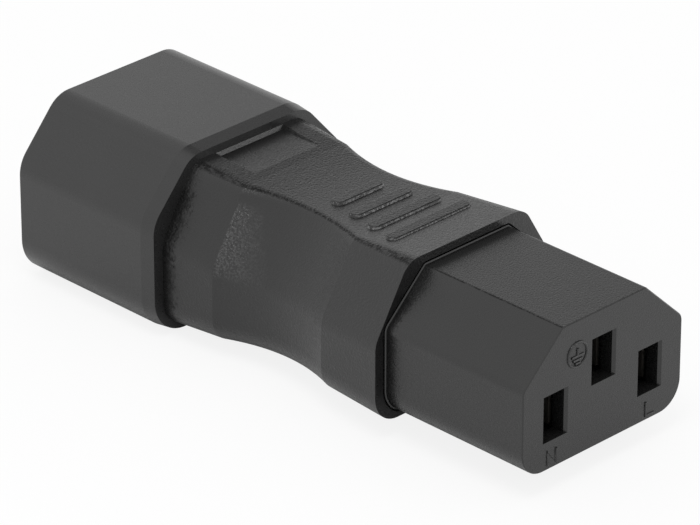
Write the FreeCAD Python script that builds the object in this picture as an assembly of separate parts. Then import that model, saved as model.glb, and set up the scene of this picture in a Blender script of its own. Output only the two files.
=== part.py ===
import FreeCAD, Part
import math
import os

# Straight mains adapter: a male plug shroud at -X, a waisted grip, and a female nose at +X.
# All sizes are in millimetres. X runs along the adapter, Z is up on the chamfered earth side.
# The origin is under the middle of the adapter, level with the underside of the shroud.

Vector = FreeCAD.Vector

# Standard mating outline, shared by the nose and by the cavity of the shroud
face_width = 23.6
face_above_contacts = 9.66
face_below_contacts = 5.9
face_chamfer_across = 5.66
face_chamfer_down = 5.33
face_top_round = 0.45
face_side_round = 1.2
face_bottom_round = 3.1
contact_side_margin = 4.8
earth_rise = 4.0
smallest_round = 0.4
flat_tolerance = 0.001

# Plug shroud
mating_clearance = 0.5
shroud_side_wall = 1.9
shroud_top_wall = 1.5
shroud_bottom_wall = 2.2
shroud_chamfer_across = 5.7
shroud_chamfer_down = 6.45
shroud_top_round = 3.6
shroud_side_round = 3.9
shroud_bottom_round = 4.6
shroud_rim_bevel = 0.12
rear_bevel_length = 1.8
rear_bevel_inset = 0.22
cavity_depth = 17.0
base_wall = 4.0
boss_inset = 1.6
boss_embed = 6.0

# Blades of the plug
blade_height = 4.0
blade_thickness = 2.0
blade_reach = 13.5
earth_lead = 1.5
blade_tip_bevel = 0.55
blade_slot_clearance = 0.05
shoulder_step = 0.6
shoulder_thickness = 1.2
retainer_thickness = 2.0

# Crimped leads
strand_diameter = 1.4
sleeve_diameter = 2.4
barrel_wall = 0.6
barrel_length = 5.0

# Connector nose
nose_reach = 19.3
nose_rim_bevel = 0.12
nose_pocket_depth = 0.8
nose_pocket_gap = 0.2
nose_pocket_bevel = 0.12
root_lip_height = 0.12
root_lip_length = 0.1
root_step = 1.4
root_embed = 6.2
front_wall = 1.8
slot_width = 3.0
slot_height = 5.3
slot_lead_in = 0.3
chamber_step = 0.45
chamber_length = 13.5
cap_thickness = 1.8

# Spring contacts in the nose
sheet_thickness = 0.4
leaf_height = 4.8
leaf_root_gap = 2.4
leaf_throat_gap = 1.8
leaf_mouth_gap = 2.7
leaf_front_clearance = 0.5
leaf_throat_place = 0.76
leaf_hold_place = 0.35
leaf_bend_radius = 4.0
chamber_fit = 0.05

# Hard filler around the leads, and the locking grooves that the grip keys into
filler_inset = 2.6
lock_groove_place = 1.6
lock_groove_width = 1.4
lock_groove_depth = 0.5

# Grip moulded over the filler
grip_length = 32.3
collar_side_wall = 1.5
collar_top_wall = 1.19
collar_bottom_wall = 0.7
collar_corner_drop = 1.43
collar_corner_spread = 2.4
collar_top_round = 2.7
waist_top_round = 1.0
grip_side_round = 3.0
grip_bottom_round = 3.3
rear_top_drop = 0.22
rear_side_drop = 0.55
rear_bottom_drop = 1.1
waist_side_depth = 0.85
waist_top_depth = 0.87
waist_bottom_depth = 0.27
scoop_start = 7.1
scoop_length = 16.5
scoop_depth = 1.3

# Shallow window in the top of the grip, and the four finger ribs
window_rim = 0.12
window_half_width = 4.75
window_depth = 0.45
window_wall_slope = 0.22
window_length = 10.3
rib_count = 4
rib_first = 16.4
rib_pitch = 3.45
rib_width = 1.5
rib_half_length = 3.5
rib_growth = 0.8
rib_height = 0.32
rib_edge_round = 0.16

# Places along X, from the mouth of the shroud to the face of the nose
shroud_length = cavity_depth + base_wall
overall_length = shroud_length + grip_length + nose_reach
mouth_x = -overall_length / 2
base_x = mouth_x + cavity_depth
shroud_back_x = mouth_x + shroud_length
boss_end_x = shroud_back_x + boss_embed
grip_front_x = shroud_back_x + grip_length
nose_face_x = grip_front_x + nose_reach
pocket_floor_x = grip_front_x - nose_pocket_depth
root_end_x = pocket_floor_x - root_embed
chamber_back_x = nose_face_x - front_wall - chamber_length
cap_back_x = chamber_back_x - cap_thickness
retainer_front_x = shroud_back_x + shoulder_thickness
retainer_back_x = retainer_front_x + retainer_thickness
barrel_diameter = strand_diameter + 2 * barrel_wall

# Spacing of the contacts, and their heights above the underside of the shroud
contact_pitch = face_width - 2 * contact_side_margin
contact_z = face_below_contacts + mating_clearance + shroud_bottom_wall
earth_z = contact_z + earth_rise

# Where each conductor runs, as (Y, Z)
conductors = {
    "line": (contact_pitch / 2, contact_z),
    "neutral": (-contact_pitch / 2, contact_z),
    "earth": (0.0, earth_z),
}


# One six-cornered outline, flat below and chamfered above
def outline(half_width, top, bottom, across, down, top_round, side_round, bottom_round):
    return {
        "half_width": half_width,
        "top": top,
        "bottom": bottom,
        "across": across,
        "down": down,
        "top_round": top_round,
        "side_round": side_round,
        "bottom_round": bottom_round,
    }


# The same outline with every side moved outwards, or inwards where the step is negative
def grown(shape, step):
    slant = math.hypot(shape["across"], shape["down"])
    side_shift = step * (slant - shape["down"]) / shape["across"]
    top_shift = step * (slant - shape["across"]) / shape["down"]
    return outline(
        shape["half_width"] + step,
        shape["top"] + step,
        shape["bottom"] - step,
        shape["across"] + step - top_shift,
        shape["down"] + step - side_shift,
        max(shape["top_round"] + step, smallest_round),
        max(shape["side_round"] + step, smallest_round),
        max(shape["bottom_round"] + step, smallest_round),
    )


# Closed wire through the given corners, each one rounded by its own radius, or sharp at 0
def rounded_wire(corners):
    starts = []
    ends = []
    edges = []
    for index, (corner, radius) in enumerate(corners):
        back = (corners[index - 1][0] - corner).normalize()
        ahead = (corners[(index + 1) % len(corners)][0] - corner).normalize()
        half_angle = back.getAngle(ahead) / 2
        reach = radius / math.tan(half_angle)
        starts.append(corner + back * reach)
        ends.append(corner + ahead * reach)
        if radius > 0:
            inward = (back + ahead).normalize()
            middle = corner + inward * (radius / math.sin(half_angle) - radius)
            edges.append(Part.Arc(starts[index], middle, ends[index]).toShape())
    for index, end in enumerate(ends):
        edges.append(Part.LineSegment(end, starts[(index + 1) % len(starts)]).toShape())
    return Part.Wire(Part.__sortEdges__(edges))


def outline_wire(x, shape):
    shoulder_z = shape["top"] - shape["down"]
    shoulder_y = shape["half_width"] - shape["across"]
    return rounded_wire([
        (Vector(x, -shape["half_width"], shape["bottom"]), shape["bottom_round"]),
        (Vector(x, shape["half_width"], shape["bottom"]), shape["bottom_round"]),
        (Vector(x, shape["half_width"], shoulder_z), shape["side_round"]),
        (Vector(x, shoulder_y, shape["top"]), shape["top_round"]),
        (Vector(x, -shoulder_y, shape["top"]), shape["top_round"]),
        (Vector(x, -shape["half_width"], shoulder_z), shape["side_round"]),
    ])


def prism(shape, x_start, x_end):
    return Part.Face(outline_wire(x_start, shape)).extrude(Vector(x_end - x_start, 0, 0))


# Body with straight sides from one outline to another
def straight_loft(first, last):
    as_solid, ruled = True, True
    return Part.makeLoft([first, last], as_solid, ruled)


# Straight-sided body that grows by the step, or shrinks where it is negative, between two places
def tapered(shape, x_start, step, x_end):
    return straight_loft(outline_wire(x_start, shape), outline_wire(x_end, grown(shape, step)))


# Block across the middle of (y, z), from x_start to x_end
def bar(x_start, x_end, y, z, thickness, height):
    corner = Vector(x_start, y - thickness / 2, z - height / 2)
    return Part.makeBox(x_end - x_start, thickness, height, corner)


def rod(x_start, x_end, y, z, diameter):
    return Part.makeCylinder(diameter / 2, x_end - x_start, Vector(x_start, y, z), Vector(1, 0, 0))


# Edges that lie wholly in the plane across X
def edges_at(solid, x):
    flat = []
    for edge in solid.Edges:
        box = edge.BoundBox
        if abs(box.XMin - x) < flat_tolerance and abs(box.XMax - x) < flat_tolerance:
            flat.append(edge)
    return flat


face_outline = outline(
    face_width / 2,
    contact_z + face_above_contacts,
    contact_z - face_below_contacts,
    face_chamfer_across,
    face_chamfer_down,
    face_top_round,
    face_side_round,
    face_bottom_round,
)
cavity_outline = grown(face_outline, mating_clearance)
shroud_outline = outline(
    cavity_outline["half_width"] + shroud_side_wall,
    cavity_outline["top"] + shroud_top_wall,
    cavity_outline["bottom"] - shroud_bottom_wall,
    shroud_chamfer_across,
    shroud_chamfer_down,
    shroud_top_round,
    shroud_side_round,
    shroud_bottom_round,
)
filler_outline = grown(face_outline, -filler_inset)
root_outline = grown(face_outline, -root_step)


# How far along the grip a place lies, from 0 at the shroud to 1 at the collar
def grip_share(x):
    return (x - shroud_back_x) / grip_length


# Depth of a shallow arc: 0 at both ends, 1 in the middle
def arc_share(share):
    return 1 - (2 * share - 1) ** 2


def grip_top(x):
    share = grip_share(x)
    collar_top = face_outline["top"] + collar_top_wall
    return collar_top - rear_top_drop * (1 - share) - waist_top_depth * arc_share(share)


# Cross-section of the grip: the collar's outline drawn in at the waist and in the finger scoops
def grip_outline(x):
    share = grip_share(x)
    bow = arc_share(share)
    scoop_share = (x - shroud_back_x - scoop_start) / scoop_length
    scoop = scoop_depth * arc_share(min(max(scoop_share, 0), 1))
    collar_half_width = face_outline["half_width"] + collar_side_wall
    half_width = collar_half_width - rear_side_drop * (1 - share) - waist_side_depth * bow - scoop
    collar_bottom = face_outline["bottom"] - collar_bottom_wall
    bottom = collar_bottom - rear_bottom_drop * (1 - share) + waist_bottom_depth * bow
    across = face_chamfer_across + collar_side_wall - collar_corner_spread
    down = face_chamfer_down + collar_top_wall + collar_corner_drop
    top_round = collar_top_round - (collar_top_round - waist_top_round) * bow
    return outline(half_width, grip_top(x), bottom, across, down,
                   top_round, grip_side_round, grip_bottom_round)


# Both ends of the grip are straight tapers
def grip_end(x_start, x_end):
    first, last = [outline_wire(x, grip_outline(x)) for x in (x_start, x_end)]
    return straight_loft(first, last)


# The waist is smooth, with creases only at its ends. Every size changes there as a plain arc, so a
# second-degree loft through the middle follows it.
def grip_waist(x_start, x_end):
    places = [x_start, (x_start + x_end) / 2, x_end]
    wires = [outline_wire(x, grip_outline(x)) for x in places]
    as_solid, ruled, closed, degree = True, False, False, 2
    return Part.makeLoft(wires, as_solid, ruled, closed, degree)


boss_outline = grown(grip_outline(shroud_back_x), -boss_inset)


# Ring cut into a moulding, so that the grip locks round it
def lock_groove(shape, x_start):
    ring = prism(grown(shape, lock_groove_depth), x_start, x_start + lock_groove_width)
    return ring.cut(prism(grown(shape, -lock_groove_depth), x_start, x_start + lock_groove_width))


# Whole outer form of the boss behind the shroud, as the grip closes round it
def boss_envelope():
    boss = prism(boss_outline, shroud_back_x, boss_end_x)
    return boss.cut(lock_groove(boss_outline, shroud_back_x + lock_groove_place))


def build_plug_shroud():
    bevel_x = shroud_back_x - rear_bevel_length
    rim_x = mouth_x + shroud_rim_bevel
    shell = prism(shroud_outline, rim_x, bevel_x)
    shell = shell.fuse([
        tapered(shroud_outline, rim_x, -shroud_rim_bevel, mouth_x),
        tapered(shroud_outline, bevel_x, -rear_bevel_inset, shroud_back_x),
    ])
    shell = shell.cut(prism(cavity_outline, mouth_x, base_x))
    shell = shell.fuse(boss_envelope())
    shell = shell.cut(prism(filler_outline, shroud_back_x, boss_end_x))
    for y, z in conductors.values():
        thickness = blade_thickness + 2 * blade_slot_clearance
        height = blade_height + 2 * blade_slot_clearance
        shell = shell.cut(bar(base_x, shroud_back_x, y, z, thickness, height))
    return shell.removeSplitter()


# Crimp barrel open at one end, as (tube, lead bore)
def barrel(x_start, x_end, y, z):
    return rod(x_start, x_end, y, z, barrel_diameter).cut(rod(x_start, x_end, y, z, strand_diameter))


def build_pin(name):
    y, z = conductors[name]
    reach = blade_reach + (earth_lead if name == "earth" else 0)
    tip_x = base_x - reach
    blade = bar(tip_x, retainer_back_x, y, z, blade_thickness, blade_height)
    blade = blade.makeChamfer(blade_tip_bevel, edges_at(blade, tip_x))
    shoulder = bar(shroud_back_x, retainer_front_x, y, z,
                   blade_thickness + 2 * shoulder_step, blade_height + 2 * shoulder_step)
    tail = barrel(retainer_back_x, retainer_back_x + barrel_length, y, z)
    return blade.fuse([shoulder, tail]).removeSplitter()


# Plate that holds the shoulders of the blades against the base of the shroud
def build_pin_retainer():
    plate = prism(filler_outline, retainer_front_x, retainer_back_x)
    for y, z in conductors.values():
        plate = plate.cut(bar(retainer_front_x, retainer_back_x, y, z, blade_thickness, blade_height))
    return plate


# Nose with its drawn-in root, before the slots and chambers are cut
def nose_envelope():
    rim_x = nose_face_x - nose_rim_bevel
    nose = prism(face_outline, pocket_floor_x, rim_x)
    rim = tapered(face_outline, rim_x, -nose_rim_bevel, nose_face_x)
    root = prism(root_outline, root_end_x, pocket_floor_x)
    return nose.fuse([rim, root]).cut(lock_groove(root_outline, root_end_x + lock_groove_place))


# Slot for a blade, widened at the face on its two long sides
def contact_slot(y, z):
    half_width = slot_width / 2
    corners = [(chamber_back_x, -half_width), (chamber_back_x, half_width),
               (nose_face_x - slot_lead_in, half_width), (nose_face_x, half_width + slot_lead_in),
               (nose_face_x, -half_width - slot_lead_in), (nose_face_x - slot_lead_in, -half_width)]
    plan = rounded_wire([(Vector(x, y + across, z - slot_height / 2), 0) for x, across in corners])
    return Part.Face(plan).extrude(Vector(0, 0, slot_height))


def build_nose_housing():
    lip = tapered(grown(face_outline, root_lip_height), grip_front_x,
                  -2 * root_lip_height, grip_front_x + 2 * root_lip_length)
    nose = nose_envelope().fuse(lip).cut(prism(filler_outline, root_end_x, chamber_back_x))
    for y, z in conductors.values():
        chamber = bar(chamber_back_x, chamber_back_x + chamber_length, y, z,
                      slot_width + 2 * chamber_step, slot_height + 2 * chamber_step)
        nose = nose.cut(contact_slot(y, z)).cut(chamber)
    return nose.removeSplitter()


# One spring leaf: held apart at the root, pinched at the throat and flared at the mouth
def contact_leaf(y, z, side):
    length = chamber_length - leaf_front_clearance
    shares = [0, leaf_hold_place, leaf_throat_place, 1]
    gaps = [leaf_root_gap, leaf_root_gap, leaf_throat_gap, leaf_mouth_gap]
    bends = [0, leaf_bend_radius, leaf_bend_radius, 0]
    foot_z = z - leaf_height / 2
    inner = [(Vector(chamber_back_x + length * share, y + side * gap / 2, foot_z), bend)
             for share, gap, bend in zip(shares, gaps, bends)]
    outer = [(point + Vector(0, side * sheet_thickness, 0), bend) for point, bend in reversed(inner)]
    return Part.Face(rounded_wire(inner + outer)).extrude(Vector(0, 0, leaf_height))


def build_contact(name):
    y, z = conductors[name]
    web_width = slot_width + 2 * chamber_step - 2 * chamber_fit
    web = bar(chamber_back_x, chamber_back_x + sheet_thickness, y, z, web_width, leaf_height)
    tail = barrel(cap_back_x - barrel_length, chamber_back_x, y, z)
    leaves = [contact_leaf(y, z, side) for side in (1, -1)]
    return web.fuse(leaves + [tail]).removeSplitter()


# Cover behind the contacts, with a hole for each crimp barrel
def build_contact_cap():
    cap = prism(filler_outline, cap_back_x, chamber_back_x)
    for y, z in conductors.values():
        cap = cap.cut(rod(cap_back_x, chamber_back_x, y, z, barrel_diameter))
    return cap


def build_strand(name):
    y, z = conductors[name]
    return rod(retainer_back_x, chamber_back_x, y, z, strand_diameter)


# Insulation, stripped back to each barrel
def build_sleeve(name):
    y, z = conductors[name]
    x_start = retainer_back_x + barrel_length
    x_end = cap_back_x - barrel_length
    return rod(x_start, x_end, y, z, sleeve_diameter).cut(rod(x_start, x_end, y, z, strand_diameter))


def filler_envelope():
    return prism(filler_outline, retainer_back_x, cap_back_x)


def build_filler():
    pin_barrel_end_x = retainer_back_x + barrel_length
    contact_barrel_end_x = cap_back_x - barrel_length
    filler = filler_envelope()
    for y, z in conductors.values():
        filler = filler.cut(rod(retainer_back_x, pin_barrel_end_x, y, z, barrel_diameter))
        filler = filler.cut(rod(pin_barrel_end_x, contact_barrel_end_x, y, z, sleeve_diameter))
        filler = filler.cut(rod(contact_barrel_end_x, cap_back_x, y, z, barrel_diameter))
    return filler


# Drafted cutter for the shallow window, open towards the waist
def window_cutter():
    floor_z = grip_top(shroud_back_x) - window_depth
    near_x = shroud_back_x + window_rim + window_wall_slope
    far_x = near_x + window_length
    wires = []
    for rise in (0, 2 * window_depth):
        spread = rise * window_wall_slope / window_depth
        side_y = window_half_width + spread
        level = floor_z + rise
        wires.append(rounded_wire([
            (Vector(near_x - spread, -side_y, level), 0),
            (Vector(far_x, -side_y, level), 0),
            (Vector(far_x, side_y, level), 0),
            (Vector(near_x - spread, side_y, level), 0),
        ]))
    return straight_loft(*wires)


# Raised finger rib with round ends, standing on the dipped top
def finger_rib(index):
    x = shroud_back_x + rib_first + rib_pitch * index
    reach = rib_half_length + rib_growth * index
    radius = rib_width / 2
    foot_z = grip_top(x) - rib_height
    middle = Part.makeBox(rib_width, 2 * reach - rib_width, 2 * rib_height,
                          Vector(x - radius, radius - reach, foot_z))
    ends = [Part.makeCylinder(radius, 2 * rib_height, Vector(x, side * (reach - radius), foot_z))
            for side in (1, -1)]
    rib = middle.fuse(ends).removeSplitter()
    top_z = foot_z + 2 * rib_height
    crest = [edge for edge in rib.Edges if edge.BoundBox.ZMin > top_z - rib_height / 2]
    return rib.makeFillet(rib_edge_round, crest)


def build_grip():
    scoop_back_x = shroud_back_x + scoop_start
    scoop_front_x = scoop_back_x + scoop_length
    grip = grip_waist(scoop_back_x, scoop_front_x)
    grip = grip.fuse([grip_end(shroud_back_x, scoop_back_x), grip_end(scoop_front_x, grip_front_x)])
    grip = grip.cut(window_cutter())
    grip = grip.fuse([finger_rib(index) for index in range(rib_count)])
    pocket_outline = grown(face_outline, nose_pocket_gap)
    pocket = prism(pocket_outline, pocket_floor_x, grip_front_x)
    bevel = tapered(pocket_outline, grip_front_x - nose_pocket_bevel, nose_pocket_bevel, grip_front_x)
    for inner in (pocket, bevel, boss_envelope(), nose_envelope(), filler_envelope()):
        grip = grip.cut(inner)
    return grip


def build_pieces():
    pieces = {
        "plug_shroud": build_plug_shroud(),
        "pin_retainer": build_pin_retainer(),
        "nose_housing": build_nose_housing(),
        "contact_cap": build_contact_cap(),
    }
    for name in conductors:
        pieces[name + "_pin"] = build_pin(name)
        pieces[name + "_contact"] = build_contact(name)
        pieces[name + "_strand"] = build_strand(name)
        pieces[name + "_sleeve"] = build_sleeve(name)
    pieces["lead_filler"] = build_filler()
    pieces["grip_overmould"] = build_grip()
    return pieces


os.makedirs("parts", exist_ok=True)
for name, piece in build_pieces().items():
    solid_count = len(piece.Solids)
    shape = piece.Solids[0] if solid_count == 1 else piece
    shape.exportStep("parts/" + name + ".step")
    print(name, "solids", solid_count, "valid", shape.isValid(), "volume", round(shape.Volume, 1))
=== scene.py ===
import bpy
import math
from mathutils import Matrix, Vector


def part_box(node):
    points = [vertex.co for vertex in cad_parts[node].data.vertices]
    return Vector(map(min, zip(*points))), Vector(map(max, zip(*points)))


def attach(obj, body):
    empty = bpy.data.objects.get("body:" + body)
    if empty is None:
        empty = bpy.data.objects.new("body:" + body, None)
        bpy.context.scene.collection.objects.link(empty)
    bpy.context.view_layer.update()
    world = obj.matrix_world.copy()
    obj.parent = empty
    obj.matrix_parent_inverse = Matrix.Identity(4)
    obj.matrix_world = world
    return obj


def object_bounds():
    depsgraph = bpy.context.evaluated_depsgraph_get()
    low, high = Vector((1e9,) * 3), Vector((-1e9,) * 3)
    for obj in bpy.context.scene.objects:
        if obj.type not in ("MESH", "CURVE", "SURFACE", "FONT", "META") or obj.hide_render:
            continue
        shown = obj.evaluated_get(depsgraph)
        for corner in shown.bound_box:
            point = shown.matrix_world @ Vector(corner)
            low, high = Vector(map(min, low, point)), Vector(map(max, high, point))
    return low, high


# Straight mains adapter: plug shroud, waisted grip and connector nose, in metres
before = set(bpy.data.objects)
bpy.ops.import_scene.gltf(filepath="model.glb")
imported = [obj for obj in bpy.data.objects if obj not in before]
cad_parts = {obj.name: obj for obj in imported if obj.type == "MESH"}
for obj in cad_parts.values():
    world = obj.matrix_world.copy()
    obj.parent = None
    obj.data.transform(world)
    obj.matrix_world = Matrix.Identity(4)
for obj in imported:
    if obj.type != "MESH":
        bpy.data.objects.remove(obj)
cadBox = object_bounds()
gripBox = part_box("grip_overmould")
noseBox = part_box("nose_housing")
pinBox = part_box("line_pin")
print("frame loaded:", len(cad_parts), "nodes")

millimetre = 0.001
seamX = gripBox[0].x                       # where the grip meets the shroud
collarX = gripBox[1].x                     # front face of the grip's collar, round the nose
faceX = noseBox[1].x                       # front face of the nose
contactZ = (pinBox[0].z + pinBox[1].z) / 2  # height of the line and neutral contacts


# Shader helpers

noiseSpread = (0.3, 0.7)                   # most of a noise's values lie between these


def newMaterial(name):
    material = bpy.data.materials.new(name)
    material.use_nodes = True
    tree = material.node_tree
    shader = tree.nodes["Principled BSDF"]
    return material, tree, shader


def addCoords(tree, kind="Object"):
    return tree.nodes.new("ShaderNodeTexCoord").outputs[kind]


# A number is set on the socket, and an output of the tree is linked to it
def feed(tree, value, socket):
    if isinstance(value, (int, float)):
        socket.default_value = value
    else:
        tree.links.new(value, socket)


def addNoise(tree, coords, size, detail=3.0, roughness=0.55):
    noise = tree.nodes.new("ShaderNodeTexNoise")
    noise.inputs["Scale"].default_value = 1 / size
    noise.inputs["Detail"].default_value = detail
    noise.inputs["Roughness"].default_value = roughness
    tree.links.new(coords, noise.inputs["Vector"])
    return noise.outputs["Fac"]


def addMap(tree, value, low, high, toLow, toHigh, kind="LINEAR"):
    span = tree.nodes.new("ShaderNodeMapRange")
    span.interpolation_type = kind
    ends = {"From Min": low, "From Max": high, "To Min": toLow, "To Max": toHigh}
    for socket, number in ends.items():
        span.inputs[socket].default_value = number
    tree.links.new(value, span.inputs["Value"])
    return span.outputs["Result"]


def addColours(tree, value, dark, light):
    ramp = tree.nodes.new("ShaderNodeValToRGB")
    ramp.color_ramp.elements[0].color = (*dark, 1)
    ramp.color_ramp.elements[1].color = (*light, 1)
    tree.links.new(value, ramp.inputs["Fac"])
    return ramp.outputs["Color"]


# An operation on one value leaves the second out
def addMath(tree, operation, first, second=0, clamp=False):
    node = tree.nodes.new("ShaderNodeMath")
    node.operation = operation
    node.use_clamp = clamp
    feed(tree, first, node.inputs[0])
    feed(tree, second, node.inputs[1])
    return node.outputs[0]


def addProduct(tree, first, *others):
    product = first
    for other in others:
        product = addMath(tree, "MULTIPLY", product, other)
    return product


def addMix(tree, share, under, over):
    mix = tree.nodes.new("ShaderNodeMix")
    mix.data_type = "RGBA"
    tree.links.new(share, mix.inputs[0])
    tree.links.new(under, mix.inputs[6])    # the colour sockets
    mix.inputs[7].default_value = (*over, 1)
    return mix.outputs[2]


def addBump(tree, height, depth, strength, under=None):
    bump = tree.nodes.new("ShaderNodeBump")
    bump.inputs["Strength"].default_value = strength
    feed(tree, depth, bump.inputs["Distance"])
    tree.links.new(height, bump.inputs["Height"])
    if under is not None:
        tree.links.new(under, bump.inputs["Normal"])
    return bump.outputs["Normal"]


def splitVector(tree, vector):
    split = tree.nodes.new("ShaderNodeSeparateXYZ")
    tree.links.new(vector, split.inputs["Vector"])
    return split.outputs


# Moulded plastics

# What all of them share
plasticLook = {
    "ior": 1.54,
    "specular": 0.5,
    "cloudDetail": 4.0,
    "grainDetail": 2.0,
    "grainStrength": 0.8,
    "swellDetail": 1.0,
    "swellStrength": 0.5,
    "fleckDetail": 1.0,
    "fleckSpread": (0.42, 0.62),            # values of the noise between which a fleck fades in
}
shroudFinish = {
    "dark": (0.015, 0.015, 0.015),
    "light": (0.020, 0.020, 0.020),
    "roughness": (0.26, 0.34),
    "cloud": 6.0 * millimetre,
    "grain": 0.16 * millimetre,
    "grainDepth": 0.006 * millimetre,
    "swell": 3.0 * millimetre,
    "swellDepth": 0.01 * millimetre,
    "paintedFlecks": None,                           # "scoops", "all" or nowhere
    "corner": None,                         # where a corner darkened by painted shade lies, if there is one
}
noseFinish = dict(
    shroudFinish,
    dark=(0.008, 0.008, 0.008),
    light=(0.011, 0.011, 0.011),
    roughness=(0.24, 0.34),
    grain=0.22 * millimetre,
    grainDepth=0.030 * millimetre,
    # Painted shade on the nose's root, in front of the collar
    corner={
        "startX": collarX + 0.15 * millimetre,
        "reach": 0.7 * millimetre,          # the least, and how much its ragged edge adds
        "ragged": 1.2 * millimetre,
        "head": 16.0 * millimetre,          # height it ends at
    },
)
gripFinish = {
    "dark": (0.007, 0.007, 0.007),
    "light": (0.010, 0.010, 0.010),
    "roughness": (0.26, 0.38),
    "cloud": 4.0 * millimetre,
    "grain": 0.26 * millimetre,
    "grainDepth": 0.06 * millimetre,
    "swell": 2.0 * millimetre,
    "swellDepth": 0.012 * millimetre,
    "paintedFlecks": "scoops",
    "fleck": 0.24 * millimetre,             # size of the painted highlight flecks, where there are any
    "fleckColour": (0.048, 0.048, 0.048),
    # Painted shade on the grip, next to the shroud
    "corner": {
        "startX": seamX - 0.1 * millimetre,
        "reach": 1.1 * millimetre,
        "ragged": 2.2 * millimetre,
        "head": 17.0 * millimetre,
    },
}
# The drafted flanks of the finger ribs catch the light in dots from their grain, and light flecks
# paint more highlight dots on them
flankFinish = dict(
    gripFinish,
    roughness=(0.18, 0.28),
    grain=0.34 * millimetre,
    grainDepth=0.13 * millimetre,
    paintedFlecks="all",
    fleck=0.34 * millimetre,
    # painted highlight dots
    fleckColour=(0.13, 0.13, 0.13),
)
innerFinish = dict(shroudFinish, dark=(0.060, 0.060, 0.060), light=(0.075, 0.075, 0.075))


# 1 at the start of a mark and fading out along it, to a ragged end
def raggedFade(tree, coords, along, size, reach, ragged):
    edge = addNoise(tree, coords, size)
    ending = addMath(tree, "ADD", reach, addMap(tree, edge, *noiseSpread, 0, ragged))
    return addMath(tree, "SUBTRACT", 1, addMath(tree, "DIVIDE", along, ending), clamp=True)


# Grainy patch where a scoop begins, coarser, with lighter flecks painted as light caught by the
# grain
scoopPatch = {
    "startX": -8.2 * millimetre,
    "start": 0.15 * millimetre,             # length over which it sets in
    "heights": (10.0 * millimetre, 17.0 * millimetre),  # and how far it reaches at each of them
    "reach": (6.5 * millimetre, 2.5 * millimetre),
    "foot": (9.6 * millimetre, 10.4 * millimetre),
    "head": (16.4 * millimetre, 17.4 * millimetre),
    "raggedSize": 0.9 * millimetre,
    "ragged": 2.0 * millimetre,
    "coarser": 4,                           # than the grain elsewhere
}


# 1 where the finger scoops begin, on the chamfers of both sides, fading out along them
def patchMask(tree, coords):
    place = splitVector(tree, coords)
    along = addMath(tree, "SUBTRACT", place["X"], scoopPatch["startX"])
    reach = addMap(tree, place["Z"], *scoopPatch["heights"], *scoopPatch["reach"])
    fade = raggedFade(tree, coords, along, scoopPatch["raggedSize"], reach, scoopPatch["ragged"])
    started = addMap(tree, along, 0, scoopPatch["start"], 0, 1)
    above = addMap(tree, place["Z"], *scoopPatch["foot"], 0, 1)
    below = addMap(tree, place["Z"], *scoopPatch["head"], 1, 0)
    return addProduct(tree, fade, started, above, below)


# Painted shade: the gloss of the moulding is lowered, and its grain made coarser, in the corner in
# front of another piece, with a ragged end, and in patches along the rounded edges of its top
paintedShade = {
    "raggedSize": 0.5 * millimetre,
    "start": 0.05 * millimetre,             # length over which a corner sets in
    "headFade": 0.6 * millimetre,
    "edgeRise": (0.77, 0.87),               # upward part of the surface's direction, on the edges
    "edgeFall": (0.95, 0.995),
    "edgeSide": (0.10, 0.25),               # sideways part
    "edgeShare": 0.75,
    "patchSpread": (0.35, 0.55),
    "patchLeast": 0.3,
    "coarser": 4,                           # than the grain elsewhere
    "glossFall": (0.1, 0.8),                # shares of dullness between which the gloss goes
    "gloss": 0.08,                          # what is left of it
}


# 1 in the corner where shade is painted, below the height where it ends
def cornerShadeMask(tree, coords, corner):
    place = splitVector(tree, coords)
    head = corner["head"]
    along = addMath(tree, "SUBTRACT", place["X"], corner["startX"])
    fade = raggedFade(tree, coords, along, paintedShade["raggedSize"], corner["reach"],
                      corner["ragged"])
    started = addMap(tree, along, 0, paintedShade["start"], 0, 1)
    below = addMap(tree, place["Z"], head - paintedShade["headFade"], head, 1, 0)
    return addProduct(tree, fade, started, below)


# 1 on the rounded edges between the top and the chamfers, patchy, where shade is painted
def edgeShadeMask(tree, coords):
    facing = splitVector(tree, addCoords(tree, "Normal"))
    rise = addMap(tree, facing["Z"], *paintedShade["edgeRise"], 0, 1)
    fall = addMap(tree, facing["Z"], *paintedShade["edgeFall"], 1, 0)
    sideways = addMap(tree, addMath(tree, "ABSOLUTE", facing["Y"]), *paintedShade["edgeSide"],
                      0, paintedShade["edgeShare"])
    patches = addMap(tree, addNoise(tree, coords, paintedShade["raggedSize"]),
                     *paintedShade["patchSpread"], paintedShade["patchLeast"], 1)
    return addProduct(tree, rise, fall, sideways, patches)


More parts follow.
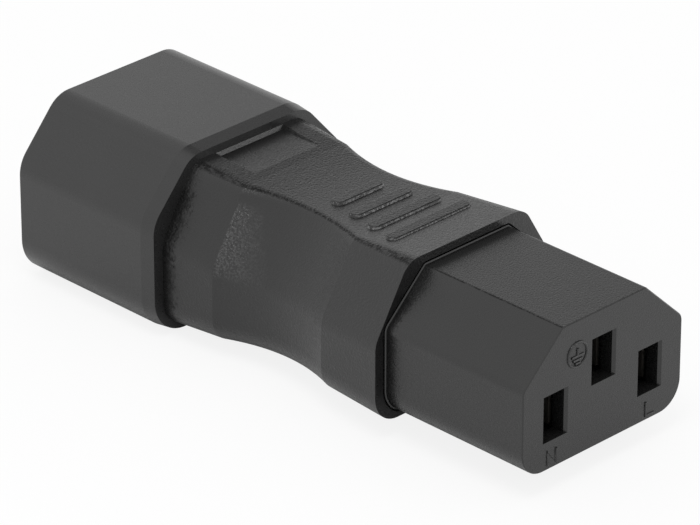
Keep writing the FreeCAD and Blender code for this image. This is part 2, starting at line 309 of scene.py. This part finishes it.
# Cloudy colour, gloss that varies with the grain, and two sizes of surface relief
def makePlastic(name, finish):
    material, tree, shader = newMaterial(name)
    coords = addCoords(tree)
    cloud = addNoise(tree, coords, finish["cloud"], plasticLook["cloudDetail"])
    grain = addNoise(tree, coords, finish["grain"], plasticLook["grainDetail"])
    swell = addNoise(tree, coords, finish["swell"], plasticLook["swellDetail"])
    colour = addColours(tree, cloud, finish["dark"], finish["light"])
    depth = finish["grainDepth"]
    # Painted highlights: lighter flecks on the rib flanks and in the scoop patch
    if finish["paintedFlecks"]:
        flecks = addNoise(tree, coords, finish["fleck"], plasticLook["fleckDetail"])
        share = addMap(tree, flecks, *plasticLook["fleckSpread"], 0, 1)
        if finish["paintedFlecks"] == "scoops":
            patchShare = patchMask(tree, coords)
            share = addMath(tree, "MULTIPLY", patchShare, share)
            depth = addMap(tree, patchShare, 0, 1, depth, depth * scoopPatch["coarser"])
        colour = addMix(tree, share, colour, finish["fleckColour"])
    # Painted shade: lowered gloss darkens the corner and the rounded top edges
    if finish["corner"]:
        shaded = addMath(tree, "MAXIMUM", cornerShadeMask(tree, coords, finish["corner"]),
                       edgeShadeMask(tree, coords))
        coarser = addMap(tree, shaded, 0, 1, 1, paintedShade["coarser"])
        depth = addMath(tree, "MULTIPLY", coarser, depth)
        gloss = addMap(tree, shaded, *paintedShade["glossFall"], plasticLook["specular"],
                       paintedShade["gloss"])
        tree.links.new(gloss, shader.inputs["Specular IOR Level"])
    roughness = addMap(tree, grain, *noiseSpread, *finish["roughness"])
    swellNormal = addBump(tree, swell, finish["swellDepth"], plasticLook["swellStrength"])
    grainNormal = addBump(tree, grain, depth, plasticLook["grainStrength"], swellNormal)
    tree.links.new(colour, shader.inputs["Base Color"])
    tree.links.new(roughness, shader.inputs["Roughness"])
    tree.links.new(grainNormal, shader.inputs["Normal"])
    shader.inputs["IOR"].default_value = plasticLook["ior"]
    return material


# Metals

# Darkest and lightest colour, and roughness, of each
metalColours = {
    "nickel": ((0.62, 0.61, 0.58), (0.74, 0.73, 0.70), (0.20, 0.34)),
    # the contacts' tin is darkened: painted shade, for the shade deep inside the slots
    "shadeDarkenedTin": ((0.10, 0.095, 0.085), (0.16, 0.15, 0.135), (0.42, 0.56)),
    "copper": ((0.66, 0.34, 0.20), (0.80, 0.46, 0.30), (0.25, 0.42)),
}
metalMarks = {
    "scratch": 0.12 * millimetre,
    "scratchDepth": 0.003 * millimetre,
    "scratchStrength": 0.5,
    "stretch": 14.0,                        # how much longer than wide the draw marks are
    "stain": 2.5 * millimetre,
    "stainDetail": 4.0,
}


def makeMetal(name, kind):
    dark, light, roughness = metalColours[kind]
    material, tree, shader = newMaterial(name)
    coords = addCoords(tree)
    squeeze = tree.nodes.new("ShaderNodeMapping")
    squeeze.inputs["Scale"].default_value = (1 / metalMarks["stretch"], 1, 1)
    tree.links.new(coords, squeeze.inputs["Vector"])
    marks = addNoise(tree, squeeze.outputs["Vector"], metalMarks["scratch"])
    stain = addNoise(tree, coords, metalMarks["stain"], metalMarks["stainDetail"])
    relief = addBump(tree, marks, metalMarks["scratchDepth"], metalMarks["scratchStrength"])
    tree.links.new(addColours(tree, stain, dark, light), shader.inputs["Base Color"])
    tree.links.new(addMap(tree, marks, *noiseSpread, *roughness), shader.inputs["Roughness"])
    tree.links.new(relief, shader.inputs["Normal"])
    shader.inputs["Metallic"].default_value = 1.0
    return material


# Lead insulation

insulationColours = {
    "line": ((0.24, 0.11, 0.05), (0.32, 0.16, 0.08)),
    "neutral": ((0.03, 0.12, 0.42), (0.06, 0.18, 0.52)),
    "earth": ((0.20, 0.42, 0.06), (0.72, 0.62, 0.05)),
}
insulationSkin = {
    "haze": 1.5 * millimetre,
    "roughness": (0.38, 0.52),
    "depth": 0.01 * millimetre,
    "strength": 0.4,
}


def makeInsulation(pole):
    material, tree, shader = newMaterial(pole + "Insulation")
    haze = addNoise(tree, addCoords(tree), insulationSkin["haze"])
    colour = addColours(tree, haze, *insulationColours[pole])
    roughness = addMap(tree, haze, *noiseSpread, *insulationSkin["roughness"])
    relief = addBump(tree, haze, insulationSkin["depth"], insulationSkin["strength"])
    tree.links.new(colour, shader.inputs["Base Color"])
    tree.links.new(roughness, shader.inputs["Roughness"])
    tree.links.new(relief, shader.inputs["Normal"])
    return material


def dressNode(node, material):
    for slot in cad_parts[node].material_slots:
        slot.material = material


shroudPlastic = makePlastic("shroudPlastic", shroudFinish)
nosePlastic = makePlastic("nosePlastic", noseFinish)
gripPlastic = makePlastic("gripPlastic", gripFinish)
flankPlastic = makePlastic("flankPlastic", flankFinish)
innerPlastic = makePlastic("innerPlastic", innerFinish)
nickelPlate = makeMetal("nickelPlate", "nickel")
contactTin = makeMetal("contactTin", "shadeDarkenedTin")
bareCopper = makeMetal("bareCopper", "copper")

dressNode("plug_shroud", shroudPlastic)
dressNode("nose_housing", nosePlastic)
dressNode("grip_overmould", gripPlastic)
for node in ("pin_retainer", "contact_cap", "lead_filler"):
    dressNode(node, innerPlastic)
for pole in ("line", "neutral", "earth"):
    dressNode(pole + "_pin", nickelPlate)
    dressNode(pole + "_contact", contactTin)
    dressNode(pole + "_strand", bareCopper)
    dressNode(pole + "_sleeve", makeInsulation(pole))
print("materials on", len(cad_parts), "nodes")


def addObject(name, data):
    piece = bpy.data.objects.new(name, data)
    bpy.context.collection.objects.link(piece)
    return piece


# Raised signs on the nose face: L, N and the earth sign, as rounded ridges half sunk in the face

signs = {
    "ridge": 0.15 * millimetre,             # radius of a ridge
    "roundSteps": 3,                        # across a quarter of it
    "height": 1.6 * millimetre,             # letters
    "width": 1.25 * millimetre,
    "foot": -5.35 * millimetre,             # under the contacts' line
    "lineY": 6.5 * millimetre,
    "neutralY": -8.1 * millimetre,
    "earthY": -3.95 * millimetre,
    "earthRise": 5.78 * millimetre,
    "ringRadius": 1.38 * millimetre,
    "ringSteps": 40,
    "stem": (0.51, -0.12),                  # top and foot, in ring radii from the middle
    "bars": ((-0.12, 0.64), (-0.43, 0.49), (-0.72, 0.27)),  # height and half length of each
}


# Each stroke is a list of (y, z) on the nose face
def addSign(name, strokes, closed=False):
    curve = bpy.data.curves.new(name, "CURVE")
    curve.dimensions = "3D"
    curve.bevel_depth = signs["ridge"]
    curve.bevel_resolution = signs["roundSteps"]
    curve.use_fill_caps = True
    for index, stroke in enumerate(strokes):
        spline = curve.splines.new("POLY")
        spline.points.add(len(stroke) - 1)
        for point, (y, z) in zip(spline.points, stroke):
            point.co = (faceX, y, contactZ + z, 1)
        spline.use_cyclic_u = closed and index == 0
    curve.materials.append(nosePlastic)
    ridge = addObject(name, curve)
    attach(ridge, "root")


def letterL(left):
    foot = signs["foot"]
    return [[(left, foot + signs["height"]), (left, foot), (left + signs["width"], foot)]]


def letterN(left):
    foot = signs["foot"]
    head = foot + signs["height"]
    right = left + signs["width"]
    return [[(left, foot), (left, head), (right, foot), (right, head)]]


# Ring, then a stem on three bars that get shorter downwards
def earthSign(y, z, radius):
    turn = 2 * math.pi / signs["ringSteps"]
    ring = [(y + radius * math.cos(turn * step), z + radius * math.sin(turn * step))
            for step in range(signs["ringSteps"])]
    strokes = [ring, [(y, z + radius * level) for level in signs["stem"]]]
    for level, half in signs["bars"]:
        strokes.append([(y + side * radius * half, z + radius * level) for side in (-1, 1)])
    return strokes


addSign("line_sign", letterL(signs["lineY"]))
addSign("neutral_sign", letterN(signs["neutralY"]))
addSign("earth_sign", earthSign(signs["earthY"], signs["earthRise"], signs["ringRadius"]),
        closed=True)
print("signs on the nose face")


# Drafted flanks round the finger ribs, from under the rib's rounded crest into the grip's top

ribFlanks = {
    "count": 4,
    "firstX": 1.1 * millimetre,
    "pitch": 3.45 * millimetre,
    "radius": 0.75 * millimetre,
    "halfLength": 3.5 * millimetre,
    "growth": 0.8 * millimetre,             # of the half length, from each rib to the next
    # Outwards and up from the edge of the crest
    "profile": ((-0.08 * millimetre, -0.05 * millimetre),
                (0.0, -0.10 * millimetre),
                (0.19 * millimetre, -0.45 * millimetre)),
    "steps": 12,                            # round each end
    "castFrom": 1.0,                        # height that the crest is looked for from
}


# Outline of one rib with round ends, grown outwards, at one height
def ribRing(x, halfLength, outwards, z):
    radius = ribFlanks["radius"] + outwards
    centreY = halfLength - ribFlanks["radius"]
    ring = []
    for end, first in ((1, 0), (-1, math.pi)):
        for step in range(ribFlanks["steps"] + 1):
            angle = first + math.pi * step / ribFlanks["steps"]
            ring.append((x + radius * math.cos(angle), end * centreY + radius * math.sin(angle), z))
    return ring


def makeRibFlanks():
    bpy.context.view_layer.update()
    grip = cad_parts["grip_overmould"]
    vertices = []
    faces = []
    for index in range(ribFlanks["count"]):
        x = ribFlanks["firstX"] + ribFlanks["pitch"] * index
        halfLength = ribFlanks["halfLength"] + ribFlanks["growth"] * index
        crest = grip.ray_cast(Vector((x, 0, ribFlanks["castFrom"])), Vector((0, 0, -1)))[1].z
        rings = [ribRing(x, halfLength, out, crest + up) for out, up in ribFlanks["profile"]]
        for upper, lower in zip(rings, rings[1:]):
            start = len(vertices)
            count = len(upper)
            vertices += upper + lower
            for corner in range(count):
                following = (corner + 1) % count
                faces.append((start + corner, start + count + corner,
                              start + count + following, start + following))
    mesh = bpy.data.meshes.new("rib_flanks")
    mesh.from_pydata(vertices, [], faces)
    mesh.shade_smooth()
    mesh.materials.append(flankPlastic)
    flanks = addObject("rib_flanks", mesh)
    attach(flanks, "root")


makeRibFlanks()
print("flanks on", ribFlanks["count"], "ribs")


# Floor and studio light

studio = {
    "floorSize": 3.0,
    "floorColour": (0.90, 0.90, 0.90),
    "floorRoughness": 0.8,
    "floorGlow": (0.85, 0.06),              # share of plain white for the eye, and in reflections
    "worldGlow": 0.78,                      # light on the object
    # Where the dark room shows beside the backdrop, cosines between which it fades in, its level
    "darkSides": (((-0.12, 0.62, 0.775), (0.78, 0.94), 0.03),
                  ((-0.63, 0.12, 0.77), (0.91, 0.985), 0.85)),
    "lampDistance": 0.6,
    "right": ((0.77, 0.62, 0.17), 0.26, 0.28),  # direction, size, and power in watts
    "above": ((0.15, -0.30, 0.94), 0.30, 1.20),
}
white = (1, 1, 1, 1)


# One share for what is seen straight, another in a reflection, and 0 for light on the object
def addSeen(tree, straight, mirrored):
    path = tree.nodes.new("ShaderNodeLightPath").outputs
    return addMath(tree, "MAXIMUM", addMath(tree, "MULTIPLY", path["Is Camera Ray"], straight),
                   addMath(tree, "MULTIPLY", path["Is Glossy Ray"], mirrored))


def mixShaders(tree, share, under, over, surface):
    mix = tree.nodes.new("ShaderNodeMixShader")
    tree.links.new(share, mix.inputs["Fac"])
    tree.links.new(under.outputs[0], mix.inputs[1])
    tree.links.new(over.outputs[0], mix.inputs[2])
    tree.links.new(mix.outputs[0], surface)


def makeFloor():
    half = studio["floorSize"] / 2
    mesh = bpy.data.meshes.new("studioFloor")
    corners = [(-half, -half, 0), (half, -half, 0), (half, half, 0), (-half, half, 0)]
    mesh.from_pydata(corners, [], [(0, 1, 2, 3)])
    material, tree, shader = newMaterial("paleFloor")
    shader.inputs["Base Color"].default_value = (*studio["floorColour"], 1)
    shader.inputs["Roughness"].default_value = studio["floorRoughness"]
    glow = tree.nodes.new("ShaderNodeEmission")
    mixShaders(tree, addSeen(tree, *studio["floorGlow"]), shader, glow,
               tree.nodes["Material Output"].inputs["Surface"])
    mesh.materials.append(material)
    addObject("studioFloor", mesh)


# What a reflection sees is white all round, apart from the dark room above the backdrop
def makeWorld():
    world = bpy.data.worlds.new("studioWorld")
    world.use_nodes = True
    bpy.context.scene.world = world
    tree = world.node_tree
    light = tree.nodes["Background"]
    light.inputs["Color"].default_value = white
    light.inputs["Strength"].default_value = studio["worldGlow"]
    around = addCoords(tree, "Generated")
    level = 1
    for side, edges, least in studio["darkSides"]:
        towards = tree.nodes.new("ShaderNodeVectorMath")
        towards.operation = "DOT_PRODUCT"
        towards.inputs[1].default_value = Vector(side).normalized()
        tree.links.new(around, towards.inputs[0])
        dark = addMap(tree, towards.outputs["Value"], *edges, 1, least, "SMOOTHSTEP")
        level = addMath(tree, "MULTIPLY", level, dark)
    eye = tree.nodes.new("ShaderNodeLightPath").outputs["Is Camera Ray"]
    backdrop = tree.nodes.new("ShaderNodeBackground")
    backdrop.inputs["Color"].default_value = white
    feed(tree, addMath(tree, "MAXIMUM", eye, level), backdrop.inputs["Strength"])
    mixShaders(tree, addSeen(tree, 1, 1), light, backdrop,
               tree.nodes["World Output"].inputs["Surface"])


# Lamps and camera look back along their own direction
def aimBack(holder, target, direction, distance):
    holder.location = target + direction * distance
    holder.rotation_mode = "QUATERNION"
    holder.rotation_quaternion = direction.to_track_quat("Z", "Y")


def addLamp(side):
    direction, size, power = studio[side]
    lamp = bpy.data.lights.new(side + "Lamp", "AREA")
    lamp.shape = "DISK"
    lamp.size = size
    lamp.energy = power
    middle = (cadBox[0] + cadBox[1]) / 2
    aimBack(addObject(side + "Lamp", lamp), middle, Vector(direction).normalized(),
            studio["lampDistance"])


makeFloor()
makeWorld()
for side in ("right", "above"):
    addLamp(side)
print("floor and lamps")


# Camera, where the photograph was taken from

photoView = {
    "azimuth": 45.18,                       # degrees round from -Y towards +X
    "elevation": 27.42,
    "distance": 0.5677,
    "aim": (-0.00108, 0.00105, 0.00918),
    "lens": 276.38,                         # focal length in millimetres
    "frameWidth": 36,                       # of the picture behind the lens, in millimetres
    "clipStart": 0.01,
}


def makeCamera():
    turn = math.radians(photoView["azimuth"])
    rise = math.radians(photoView["elevation"])
    flat = math.cos(rise)
    back = Vector((math.sin(turn) * flat, -math.cos(turn) * flat, math.sin(rise)))
    lens = bpy.data.cameras.new("photoCamera")
    lens.sensor_width = photoView["frameWidth"]
    lens.lens = photoView["lens"]
    lens.clip_start = photoView["clipStart"]
    camera = addObject("photoCamera", lens)
    aimBack(camera, Vector(photoView["aim"]), back, photoView["distance"])
    bpy.context.scene.camera = camera


makeCamera()
bpy.context.scene.view_settings.view_transform = "Standard"
print("camera set")
